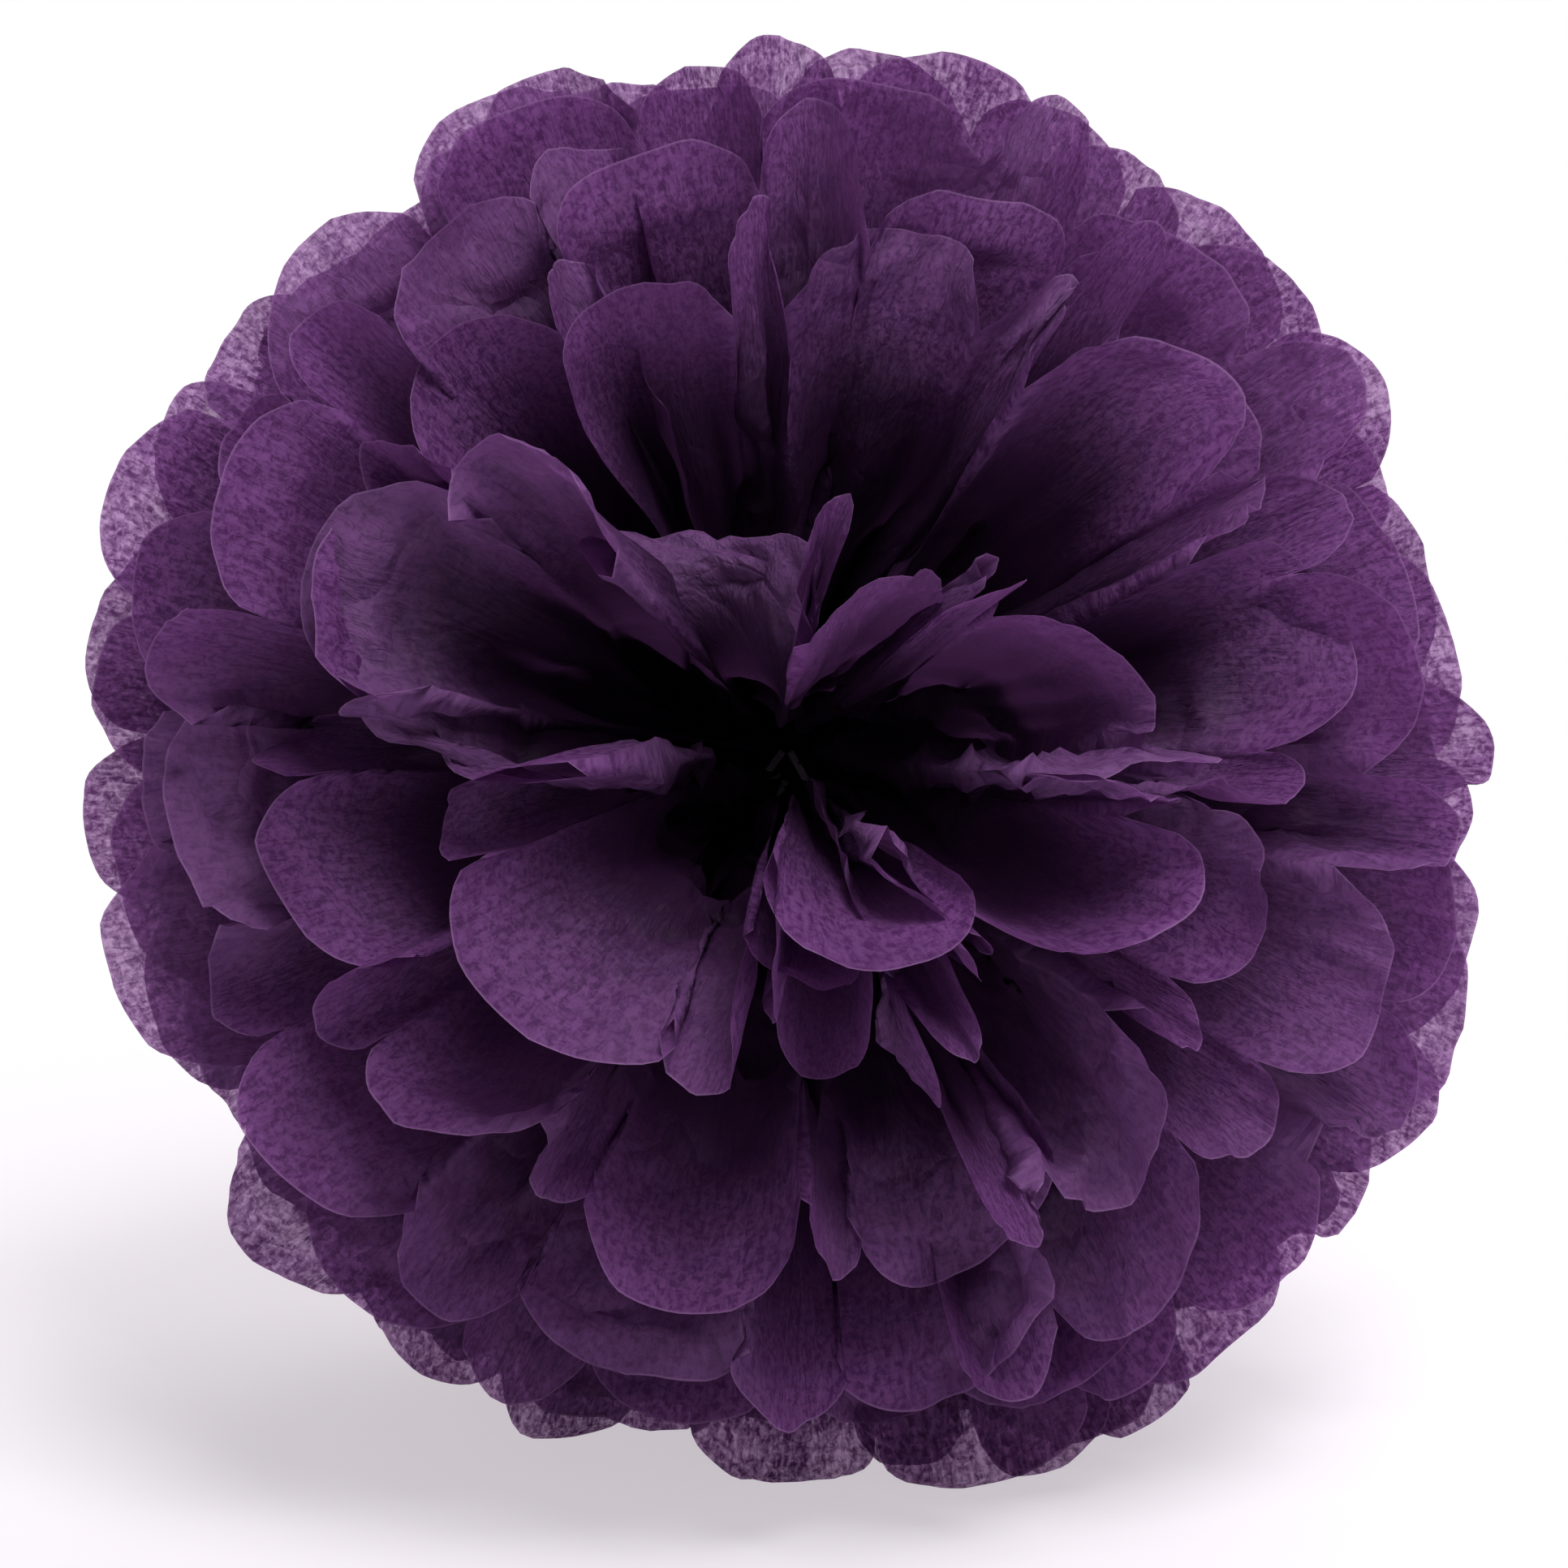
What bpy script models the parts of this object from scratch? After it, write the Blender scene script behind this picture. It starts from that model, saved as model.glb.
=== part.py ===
"""Tissue paper pom pom, resting on its side with one open face towards the viewer.

A stack of tissue sheets is folded together into pleats, tied round the waist and cut round at both
ends. Each half then opens into a half circle, and the sheets are pulled apart towards the two faces,
so that the ball is made of nested ruffled cones. Metres, with +Z up and the floor at z = 0.
"""

import math

import bmesh
import bpy
import numpy as np
from mathutils import Matrix, Vector

# The paper, as it is cut and folded
SHEET_COUNT = 10
PANEL_COUNT = 12
SHEET_LENGTH = 0.262
PANEL_WIDTH = 0.038
SCALLOP_DEPTH = 0.013
PAPER = 0.0004
GAP = 0.0003
LAYER_GAP = 0.0004

# The waist, where the tie gathers the folded stack
WAIST_WIDTH = 0.014
WAIST_LENGTH = 0.0046
PLEAT_RISE = 0.0008

# The open ball
BEND_RADIUS = 0.012
FACE_ANGLE = math.radians(20)
SPLIT_ANGLE = math.radians(1)
CLOSING_LENGTH = 0.044
FLARE = 0.22
FLARE_START = 0.45
FOLD_GROWTH = 1.3
FREE_FROM = 0.012
FREE_LENGTH = 0.06

# How wide the panels are at their outer end, as shares of an even one, and how far the halves
# stand back from the split and turn about the axis, in panels
LEAST_UNEVEN = 0.12
MORE_UNEVEN = 0.75
UNEVEN_CURVE = 1.6
UNEVEN_RANGE = (0.75, 1.1)
WIDTH_STRAY = 0.12
LEAST_SHARE = 0.2
SPLIT_BACK = 0.08
SWIRL = 0.25

# How deep the folds stay there, and how the ends of the petals hang
WIDTH_USED = 0.97
MOST_FOLD = 0.022
FOLD_RANGE = (0.6, 1.1)
WIDE_FLATTER = 0.6
LOOSE_HEIGHT = 0.004
MOST_SLACK = 0.35
CUP_RANGE = (0.3, 1)
LEAST_FLOP = 0.008
MORE_FLOP = 0.014
FLOP_RANGE = (0.5, 1.3)
FLOP_FROM = 0.55
CORNER_FLOP = 0.35
SEED = 100

# How far a sheet keeps off the one inside it, looking this many panels to either side
CLEAR = 0.008
CLEAR_PANELS = 0.8
RIM_STEPS = 6

# Fold lines of the innermost sheet's rim, seen from the front about the middle of the hollow:
# degrees counterclockwise from the right, and hundredths of the ball's radius out. Both halves
# run from the split below to the one above.
INNER_RIM = {
    1: ((-63, 15), (-57, 34), (-51, 18), (-45, 29), (-38, 15), (-32, 26), (-26, 18), (-20, 38),
        (2, 47), (27, 41), (33, 21), (40, 29), (70, 15)),
    -1: ((291, 14), (284, 26), (276, 15), (268, 27), (259, 13), (246, 38), (198, 37), (189, 24),
         (176, 49), (149, 50), (141, 29), (84, 14), (77, 17)),
}

# How it lies
AXIS_TILT = math.radians(15)
AXIS_ROLL = math.radians(24)
SAG = 0.011
SETTLE = 0.003
SPLAY = 0.6

# The tie, two narrow strips knotted side by side
STRIP_THICKNESS = 0.0005
KNOT_HEIGHT = 0.0032
KNOT_LENGTH = 0.0044
KNOT_SHARE = 0.98
TAIL_LENGTH = 0.0135
TAIL_STEP = 0.0024
TAIL_SHARE = 0.72
TAIL_SLANT = 0.001
TAIL_RISE = math.radians(62)
TAIL_BEND = math.radians(30)
TIE_STRIPS = (
    ("tie_strip_a", 1, (math.radians(212), math.radians(275))),
    ("tie_strip_b", -1, (math.radians(165), math.radians(228))),
)

# Sizes that follow from those
WAIST_HALF = WAIST_LENGTH / 2
TIP = SHEET_LENGTH / 2
NOTCH = TIP - SCALLOP_DEPTH
REACH = TIP - WAIST_HALF
FAN_ANGLE = math.pi / 2 - SPLIT_ANGLE / 2
PANEL_ANGLE = 2 * FAN_ANGLE / PANEL_COUNT
PANEL_SPACING = WAIST_WIDTH / PANEL_COUNT
TOP_RISE = math.pi / 2 - FACE_ANGLE
RISE_STEP = 2 * TOP_RISE / (SHEET_COUNT - 1)
BEND_LENGTH = BEND_RADIUS * TOP_RISE
PLEAT_SLOPE = math.atan2(2 * PLEAT_RISE, PANEL_SPACING)
STACK_PITCH = (PAPER + LAYER_GAP) / math.cos(PLEAT_SLOPE)
BUNDLE_HALF = STACK_PITCH * (SHEET_COUNT - 1) / 2 + PLEAT_RISE + PAPER / 2 / math.cos(PLEAT_SLOPE)
CENTRE_HEIGHT = TIP - SAG

# Distances from the waist's middle at which a sheet is scored across
ROWS = (
    WAIST_HALF,
    WAIST_HALF + BEND_LENGTH / 2,
    WAIST_HALF + BEND_LENGTH,
    (WAIST_HALF + BEND_LENGTH + NOTCH) / 2,
    NOTCH,
    TIP,
)

# From the pom pom's own frame (x along the folds, y along the split, z out of the open face)
# to the floor's frame
STAND = (
    Matrix.Translation((0, 0, CENTRE_HEIGHT))
    @ Matrix.Rotation(math.pi / 2 - AXIS_TILT, 4, "X")
    @ Matrix.Rotation(AXIS_ROLL, 4, "Z")
)


def clear_scene():
    for obj in list(bpy.data.objects):
        bpy.data.objects.remove(obj, do_unlink=True)


def make_collection(name):
    collection = bpy.data.collections.new(name)
    bpy.context.scene.collection.children.link(collection)
    return collection


def make_material(name, colour, roughness):
    material = bpy.data.materials.new(name)
    material.use_nodes = True
    shader = material.node_tree.nodes["Principled BSDF"]
    shader.inputs["Base Color"].default_value = (*colour, 1)
    shader.inputs["Roughness"].default_value = roughness
    shader.inputs["Metallic"].default_value = 0
    return material


# The flat sheet: cut, scalloped and scored, with x along the folds and y across them


def flat_sheet():
    """A flat sheet of panels with a round end on each, before it is folded."""
    stations = [-row for row in reversed(ROWS)] + list(ROWS)
    last_row = len(stations) - 1
    last_column = 2 * PANEL_COUNT
    bm = bmesh.new()
    bmesh.ops.create_grid(bm, x_segments=last_row, y_segments=last_column, size=1)
    low_x = min(vert.co.x for vert in bm.verts)
    low_y = min(vert.co.y for vert in bm.verts)
    for vert in bm.verts:
        row = round(last_row * (vert.co.x - low_x) / (-2 * low_x))
        column = round(last_column * (vert.co.y - low_y) / (-2 * low_y))
        on_fold = column % 2 == 0
        x = stations[row]
        if row in (0, last_row) and on_fold:
            x = math.copysign(NOTCH, x)
        vert.co = (x, column * PANEL_WIDTH / 2, 0)
    bmesh.ops.remove_doubles(bm, verts=bm.verts, dist=PAPER / 4)
    round_the_ends(bm)
    fold_lines_only(bm)
    bmesh.ops.triangulate(bm, faces=bm.faces)
    return bm


def round_the_ends(bm):
    """Give each pointed panel end two more points, so that it follows half an ellipse."""
    at_end = SCALLOP_DEPTH / 100
    rim = [
        edge
        for edge in bm.edges
        if edge.is_boundary and all(abs(vert.co.x) > NOTCH - at_end for vert in edge.verts)
    ]
    bmesh.ops.subdivide_edges(bm, edges=rim, cuts=1)
    shoulder = math.sin(math.pi / 4)
    for vert in bm.verts:
        if NOTCH + at_end < abs(vert.co.x) < TIP - at_end:
            middle = (math.floor(vert.co.y / PANEL_WIDTH) + 0.5) * PANEL_WIDTH
            vert.co.x = math.copysign(NOTCH + SCALLOP_DEPTH * shoulder, vert.co.x)
            vert.co.y = middle + math.copysign(PANEL_WIDTH / 2 * shoulder, vert.co.y - middle)


def fold_lines_only(bm):
    """Near the waist a panel is flat from fold to fold, so its middle line goes there."""
    inner = ROWS[3] + SCALLOP_DEPTH / 100

    def on_middle_line(vert):
        return abs(vert.co.x) < inner and round(2 * vert.co.y / PANEL_WIDTH) % 2 == 1

    middle_lines = [edge for edge in bm.edges if all(on_middle_line(vert) for vert in edge.verts)]
    bmesh.ops.dissolve_edges(bm, edges=middle_lines, use_verts=True)


# The open shape of a sheet


def smooth(share):
    share = np.clip(share, 0, 1)
    return share * share * (3 - 2 * share)


class Sheet:
    """Where each point of one flat sheet lies once the stack is tied and opened."""

    def __init__(self, index, neighbour=None):
        self.index = index
        self.level = (SHEET_COUNT - 1) / 2 - index
        self.inner = abs(self.level) / ((SHEET_COUNT - 1) / 2)
        self.rise = self.level * RISE_STEP
        self.start_height = self.level * STACK_PITCH
        centre = (SHEET_COUNT - 1) / 2 * STACK_PITCH + BEND_RADIUS
        turn_radius = centre - abs(self.start_height)
        turn_length = turn_radius * abs(self.rise)
        flare_start = FLARE_START * REACH
        self.stages = (
            (turn_length, self.rise),
            (flare_start - turn_length, 0),
            (REACH - flare_start, -self.rise * FLARE),
        )
        self.face = math.copysign(1, self.rise)
        self.rim_radius, _, self.rim_heading = [float(value) for value in self.walk(np.array(REACH))]
        chance = np.random.default_rng(SEED + index)
        self.halves = {side: self.folds(side, chance) for side in (-1, 1)}
        if neighbour:
            self.keep_clear(neighbour)

    def folds(self, side, chance):
        """Rim places (in panels) and heights of one half's fold lines, and how its petals hang."""
        lines = np.arange(PANEL_COUNT + 1)
        if self.index == 0:
            seen = np.array(INNER_RIM[side], dtype=float).T
            steps = np.linspace(0, seen.shape[1] - 1, PANEL_COUNT + 1)
            turn, out = [np.interp(steps, np.arange(seen.shape[1]), row) for row in seen]
            turn = np.radians(turn) - AXIS_ROLL
            places = (turn if side > 0 else math.pi - turn) / PANEL_ANGLE + PANEL_COUNT / 2
            heights = (self.rim_radius - out / 100 * TIP) / math.sin(self.rim_heading)
        else:
            uneven = LEAST_UNEVEN + MORE_UNEVEN * self.inner**UNEVEN_CURVE
            wide = np.where((lines[:-1] + (side > 0)) % 2 == 0, 1, -1)
            shares = 1 + uneven * wide * chance.uniform(*UNEVEN_RANGE, PANEL_COUNT)
            shares += WIDTH_STRAY * chance.uniform(-1, 1, PANEL_COUNT)
            shares = np.maximum(shares, LEAST_SHARE)
            shares *= (PANEL_COUNT - 2 * SPLIT_BACK) / shares.sum()
            places = SPLIT_BACK + np.concatenate([[0], np.cumsum(shares)])
            places += side * SWIRL * (1 if self.index % 2 else -1)
            width = self.rim_radius * PANEL_ANGLE * shares
            need = np.sqrt(np.clip((WIDTH_USED * PANEL_WIDTH) ** 2 - width**2, 0, None))
            need = np.minimum(need, MOST_FOLD) * chance.uniform(*FOLD_RANGE, PANEL_COUNT)
            need = np.where(wide > 0, need * (1 - WIDE_FLATTER * self.inner), need)
            way = np.where(lines[:-1] % 2 == 0, -1, 1)
            heights = np.concatenate([[0], np.cumsum(way * need)])
            heights -= np.linspace(heights[0], heights[-1], PANEL_COUNT + 1)
            heights -= heights.mean()
            heights += LOOSE_HEIGHT * chance.uniform(-1, 1, PANEL_COUNT + 1)
        flop = LEAST_FLOP + MORE_FLOP * self.inner**2
        return {
            "places": places,
            "heights": heights,
            "flop": flop * chance.uniform(*FLOP_RANGE, PANEL_COUNT),
            "cup": chance.uniform(*CUP_RANGE, PANEL_COUNT),
        }

    def rim(self):
        """Angles round the axis and heights of the fold lines of both halves, finely divided."""
        angles = []
        heights = []
        fine = np.linspace(0, PANEL_COUNT, RIM_STEPS * PANEL_COUNT + 1)
        lines = np.arange(PANEL_COUNT + 1)
        for side, half in self.halves.items():
            turn = (np.interp(fine, lines, half["places"]) - PANEL_COUNT / 2) * PANEL_ANGLE
            angles.append(turn if side > 0 else math.pi - turn)
            heights.append(np.interp(fine, lines, half["heights"]))
        return np.concatenate(angles), np.concatenate(heights)

    def keep_clear(self, neighbour):
        """Fold lines give way to the sheet inside this one, which was opened before it."""
        angles, heights = neighbour.rim()
        apart = RISE_STEP * REACH - CLEAR
        for side, half in self.halves.items():
            turn = (half["places"] - PANEL_COUNT / 2) * PANEL_ANGLE
            turn = turn if side > 0 else math.pi - turn
            for line in range(PANEL_COUNT + 1):
                off = np.abs((angles - turn[line] + math.pi) % (2 * math.pi) - math.pi)
                near = heights[off < CLEAR_PANELS * PANEL_ANGLE]
                if self.face > 0:
                    half["heights"][line] = min(half["heights"][line], near.min() + apart)
                else:
                    half["heights"][line] = max(half["heights"][line], near.max() - apart)

    def walk(self, distance):
        """Radius, height and heading of the profile at a distance from the waist."""
        radius = np.zeros_like(distance)
        height = np.zeros_like(distance)
        heading = np.zeros_like(distance)
        left = np.array(distance)
        for length, turn in self.stages:
            step = np.minimum(left, length)
            angle = turn * step / length
            half = np.where(np.abs(angle) > 1e-9, angle / 2, 1)
            chord = step * np.where(np.abs(angle) > 1e-9, np.sin(half) / half, 1)
            radius = radius + chord * np.cos(heading + angle / 2)
            height = height + chord * np.sin(heading + angle / 2)
            heading = heading + angle
            left = left - step
        return radius, height, heading

    def place(self, side, distance, panel):
        """The points at these distances beyond the waist and this many panels along."""
        half = self.halves[side]
        opened = distance / REACH
        radius, height, heading = self.walk(distance)
        lobe = np.clip(panel.astype(int), 0, PANEL_COUNT - 1)
        within = panel - lobe

        def between(values):
            return values[lobe] * (1 - within) + values[lobe + 1] * within

        # Even pleats at the waist, each fold line at its own place further out
        free = smooth((distance - FREE_FROM) / FREE_LENGTH)
        even = panel - PANEL_COUNT / 2
        own = between(half["places"]) - PANEL_COUNT / 2
        azimuth = (even * (1 - free) + own * free) * PANEL_ANGLE
        spacing = PANEL_SPACING * np.cos(azimuth) + radius * PANEL_ANGLE
        gathered = spacing * math.tan(PLEAT_SLOPE) / 2 * np.cos(even * PANEL_ANGLE)
        fold = 2 * np.abs(panel % 2 - 1) - 1
        growth = opened**FOLD_GROWTH
        offset = fold * gathered * (1 - opened) * (1 - free)
        offset += between(half["heights"]) * growth * free

        # The middle of a panel bulges by the paper that is left between its folds, as the height
        # of an arc over its chord, and its end flops outward
        width = spacing * np.abs(half["places"][lobe + 1] - half["places"][lobe])
        step = (half["heights"][lobe + 1] - half["heights"][lobe]) * growth
        chord = np.sqrt(width**2 + step**2)
        slack = np.clip(PANEL_WIDTH * growth / np.maximum(chord, PAPER) - 1, 0, MOST_SLACK)
        middle = np.maximum(4 * within * (1 - within), 0)
        offset -= self.face * chord * np.sqrt(3 / 8 * slack) * half["cup"][lobe] * middle * free
        bent = np.clip((opened - FLOP_FROM) / (1 - FLOP_FROM), 0, 1) ** 2
        corner = CORNER_FLOP + (1 - CORNER_FLOP) * middle**0.5
        offset -= self.face * half["flop"][lobe] * bent * corner

        # The two halves stand apart at the tie and close up beyond it
        closing = np.minimum(distance / CLOSING_LENGTH, 1) ** 2
        apart = WAIST_HALF + (PAPER / 2 + GAP - WAIST_HALF) * closing
        radius = radius - np.sin(heading) * offset
        x = side * (apart + radius * np.cos(azimuth))
        y = (panel - PANEL_COUNT / 2) * PANEL_SPACING + radius * np.sin(azimuth)
        z = self.start_height + height + np.cos(heading) * offset
        return np.stack((x, y, z, np.ones_like(x)), axis=-1) @ np.array(STAND)[:3].T

    def settle(self, side, distance, panel):
        """The points on the stand, with petals that reach the floor laid out along it."""
        resting = PAPER / 2
        points = self.place(side, distance, panel)
        under = points[:, 2] < resting
        if under.any():
            reach = distance[under]
            across = panel[under]
            near = np.zeros_like(reach)
            far = reach.copy()
            for _ in range(30):
                middle = (near + far) / 2
                above = self.place(side, middle, across)[:, 2] > resting
                near = np.where(above, middle, near)
                far = np.where(above, far, middle)
            touch = self.place(side, near, across)
            forward = -1 if self.rise > -AXIS_TILT else 1
            outward = touch[:, :2] / TIP + (0, SPLAY * forward)
            outward /= np.linalg.norm(outward, axis=1, keepdims=True)
            touch[:, :2] += outward * (reach - near)[:, None]
            points[under] = touch
        points[points[:, 2] < resting + SETTLE, 2] = resting
        return points


def open_stack():
    """The sheets in order; each gives way to the one nearer its face."""
    sheets = [None] * SHEET_COUNT
    middle = SHEET_COUNT // 2
    for order in (range(middle), range(SHEET_COUNT - 1, middle - 1, -1)):
        before = None
        for index in order:
            before = sheets[index] = Sheet(index, before)
    return sheets


def make_sheet(sheet, collection, material):
    """One sheet of tissue, folded, tied at its waist and opened."""
    bm = flat_sheet()
    ends = {side: [vert for vert in bm.verts if vert.co.x * side > 0] for side in (-1, 1)}
    for side, verts in ends.items():
        distance = np.array([max(abs(vert.co.x) - WAIST_HALF, 0) for vert in verts])
        panel = np.array([vert.co.y / PANEL_WIDTH for vert in verts])
        panel = np.where(np.abs(panel - np.round(panel)) < 1e-4, np.round(panel), panel)
        for vert, place in zip(verts, sheet.settle(side, distance, panel)):
            vert.co = place
    mesh = bpy.data.meshes.new(f"sheet_{sheet.index + 1:02d}")
    bm.to_mesh(mesh)
    bm.free()
    obj = bpy.data.objects.new(mesh.name, mesh)
    collection.objects.link(obj)
    mesh.materials.append(material)
    thickness = obj.modifiers.new("paper", "SOLIDIFY")
    thickness.thickness = PAPER
    thickness.offset = 0
    thickness.use_quality_normals = True
    press_flat(obj)
    obj.data.shade_smooth()
    obj.data.set_sharp_from_angle(angle=math.radians(25))
    return obj


def press_flat(obj):
    """Keep the thickness, and bring the underside of the resting petals onto the floor."""
    bpy.context.view_layer.update()
    graph = bpy.context.evaluated_depsgraph_get()
    solid = bpy.data.meshes.new_from_object(obj.evaluated_get(graph))
    for vert in solid.vertices:
        if vert.co.z < PAPER / 2:
            vert.co.z = 0
    obj.modifiers.clear()
    obj.data = solid


# The tie


def rounded_loop(half_width, half_height, radius, steps=3):
    """Points round a rectangle with round corners."""
    points = []
    for corner in range(4):
        across = half_width - radius
        up = half_height - radius
        centre_x = across if corner in (0, 3) else -across
        centre_y = up if corner in (0, 1) else -up
        for step in range(steps + 1):
            angle = (corner + step / steps) * math.pi / 2
            points.append((centre_x + radius * math.cos(angle), centre_y + radius * math.sin(angle)))
    return points


def make_band(name, width, middle):
    """The closed loop of a strip round the waist, as a solid mesh object."""
    inner_width = WAIST_WIDTH / 2 + PAPER + GAP
    inner_height = BUNDLE_HALF + GAP
    corner = 2 * STRIP_THICKNESS
    curve = bpy.data.curves.new(name, "CURVE")
    curve.dimensions = "2D"
    curve.fill_mode = "BOTH"
    curve.extrude = width / 2
    for grow in (0, STRIP_THICKNESS):
        spline = curve.splines.new("POLY")
        points = rounded_loop(inner_width + grow, inner_height + grow, corner + grow)
        spline.points.add(len(points) - 1)
        for point, (x, y) in zip(spline.points, points):
            point.co = (x, y, 0, 1)
        spline.use_cyclic_u = True
    loop = bpy.data.objects.new(name, curve)
    bpy.context.scene.collection.objects.link(loop)
    bpy.context.view_layer.update()
    graph = bpy.context.evaluated_depsgraph_get()
    mesh = bpy.data.meshes.new_from_object(loop.evaluated_get(graph))
    bpy.data.objects.remove(loop)
    bm = bmesh.new()
    bm.from_mesh(mesh)
    bmesh.ops.remove_doubles(bm, verts=bm.verts, dist=1e-6)
    across = Matrix(((0, 0, 1, middle), (1, 0, 0, 0), (0, 1, 0, 0), (0, 0, 0, 1)))
    bmesh.ops.transform(bm, matrix=across, verts=bm.verts)
    bm.to_mesh(mesh)
    bm.free()
    return bpy.data.objects.new(name, mesh)


def make_knot(name, width, centre):
    """A small flattened lump that stands on the band."""
    bm = bmesh.new()
    bmesh.ops.create_uvsphere(bm, u_segments=8, v_segments=6, radius=1)
    size = (width * KNOT_SHARE / 2, KNOT_LENGTH / 2, KNOT_HEIGHT / 2)
    bmesh.ops.scale(bm, vec=size, verts=bm.verts)
    bmesh.ops.translate(bm, vec=centre, verts=bm.verts)
    mesh = bpy.data.meshes.new(name)
    bm.to_mesh(mesh)
    bm.free()
    return bpy.data.objects.new(name, mesh)


def make_tail(name, width, centre, heading, length):
    """A flat tail that leaves the knot, rises and bends over, with its end cut at a slant."""
    segments = 4
    bm = bmesh.new()
    bmesh.ops.create_grid(bm, x_segments=segments, y_segments=1, size=1)
    low = min(vert.co.x for vert in bm.verts)
    for vert in bm.verts:
        share = (vert.co.x - low) / (-2 * low)
        side = math.copysign(width * TAIL_SHARE / 2, vert.co.y)
        along = share * (length + math.copysign(TAIL_SLANT, side))
        steepness = TAIL_RISE - TAIL_BEND * share / 2
        out = along * math.cos(steepness)
        vert.co = (
            centre[0] + out * math.cos(heading) - side * math.sin(heading),
            centre[1] + out * math.sin(heading) + side * math.cos(heading),
            centre[2] + along * math.sin(steepness),
        )
    mesh = bpy.data.meshes.new(name)
    bm.to_mesh(mesh)
    bm.free()
    tail = bpy.data.objects.new(name, mesh)
    paper = tail.modifiers.new("paper", "SOLIDIFY")
    paper.thickness = STRIP_THICKNESS
    paper.offset = 0
    return tail


def make_strip(name, side, headings, collection, cutters, material):
    """One strip of the tie: its loop round the waist, its knot and its two cut tails."""
    width = (WAIST_LENGTH - PAPER - 3 * GAP) / 2
    middle = side * (width + GAP) / 2
    top = BUNDLE_HALF + GAP + STRIP_THICKNESS
    knot_rise = (KNOT_HEIGHT - STRIP_THICKNESS) / 2
    knot_centre = (middle, side * (KNOT_LENGTH + GAP) / 2, top + knot_rise)
    strip = make_band(name, width, middle)
    collection.objects.link(strip)
    strip.data.materials.clear()
    strip.data.materials.append(material)
    joined = [make_knot(f"{name}_knot", width, knot_centre)]
    for number, heading in enumerate(headings):
        length = TAIL_LENGTH - TAIL_STEP * number
        joined.append(make_tail(f"{name}_tail_{number + 1}", width, knot_centre, heading, length))
    for piece in joined:
        cutters.objects.link(piece)
        piece.hide_render = True
        piece.display_type = "WIRE"
        union = strip.modifiers.new(piece.name, "BOOLEAN")
        union.operation = "UNION"
        union.solver = "EXACT"
        union.object = piece
        piece.matrix_world = STAND
    strip.matrix_world = STAND
    return strip


def shift_to_middle(objects):
    """The move that brings the middle of the whole box over the origin."""
    bpy.context.view_layer.update()
    graph = bpy.context.evaluated_depsgraph_get()
    corners = [
        obj.matrix_world @ vert.co
        for obj in objects
        for vert in obj.evaluated_get(graph).data.vertices
    ]
    middle_x = (min(co.x for co in corners) + max(co.x for co in corners)) / 2
    middle_y = (min(co.y for co in corners) + max(co.y for co in corners)) / 2
    return Vector((-middle_x, -middle_y, 0))


def main():
    clear_scene()
    ball = make_collection("tissue_pom_pom")
    cutters = make_collection("cutters")
    tissue = make_material("purple_tissue", (0.11, 0.04, 0.136), 0.8)
    strip_paper = make_material("dark_strip", (0.05, 0.03, 0.06), 0.6)
    pieces = [make_sheet(sheet, ball, tissue) for sheet in open_stack()]
    for name, side, headings in TIE_STRIPS:
        pieces.append(make_strip(name, side, headings, ball, cutters, strip_paper))
    shift = shift_to_middle(pieces)
    stand = bpy.data.objects.new("stand", None)
    ball.objects.link(stand)
    for obj in pieces + list(cutters.objects):
        obj.parent = stand
    stand.location = shift
    bpy.context.view_layer.update()


main()
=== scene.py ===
"""Looks of the tissue paper pom pom: fine ruffled sheets, tissue material, floor, light and camera."""

import math

import bpy
import numpy as np
from mathutils import Matrix, Vector


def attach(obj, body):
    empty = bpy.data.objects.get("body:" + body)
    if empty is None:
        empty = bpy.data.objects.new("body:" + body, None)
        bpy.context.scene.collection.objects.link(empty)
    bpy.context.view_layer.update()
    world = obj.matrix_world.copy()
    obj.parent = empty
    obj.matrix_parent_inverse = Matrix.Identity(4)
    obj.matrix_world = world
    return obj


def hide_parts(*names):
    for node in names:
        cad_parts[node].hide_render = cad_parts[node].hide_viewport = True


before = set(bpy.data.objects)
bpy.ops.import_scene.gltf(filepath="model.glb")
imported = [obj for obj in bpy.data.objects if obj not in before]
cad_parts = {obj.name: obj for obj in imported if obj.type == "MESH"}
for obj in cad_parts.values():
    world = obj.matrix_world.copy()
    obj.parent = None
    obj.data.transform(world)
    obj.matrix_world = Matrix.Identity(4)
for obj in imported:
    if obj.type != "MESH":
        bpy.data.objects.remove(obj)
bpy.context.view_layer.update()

# The paper, as in the solids
SHEET_COUNT = 10
PANEL_COUNT = 12
SHEET_LENGTH = 0.262
PANEL_WIDTH = 0.038
SCALLOP_DEPTH = 0.013
PAPER = 0.0004
LAYER_GAP = 0.0004

# The tied waist and how far the sheets open from it
WAIST_WIDTH = 0.014
WAIST_LENGTH = 0.0046
PLEAT_RISE = 0.0008
BEND_RADIUS = 0.012
FACE_ANGLE = math.radians(20)
SPLIT_ANGLE = math.radians(1)
FLARE = 0.22
FLARE_START = 0.45

# Places of the fold lines at the rim, as shares of an even panel
LEAST_UNEVEN = 0.12
MORE_UNEVEN = 0.75
UNEVEN_CURVE = 1.6
UNEVEN_RANGE = (0.75, 1.1)
WIDTH_STRAY = 0.12
LEAST_SHARE = 0.2
SPLIT_BACK = 0.08
SWIRL = 0.25

# Heights of the fold lines at the rim
WIDTH_USED = 0.97
MOST_FOLD = 0.022
FOLD_RANGE = (0.6, 1.1)
WIDE_FLATTER = 0.6
LOOSE_HEIGHT = 0.004
CLEAR = 0.008
CLEAR_PANELS = 0.8
RIM_STEPS = 6

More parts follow.
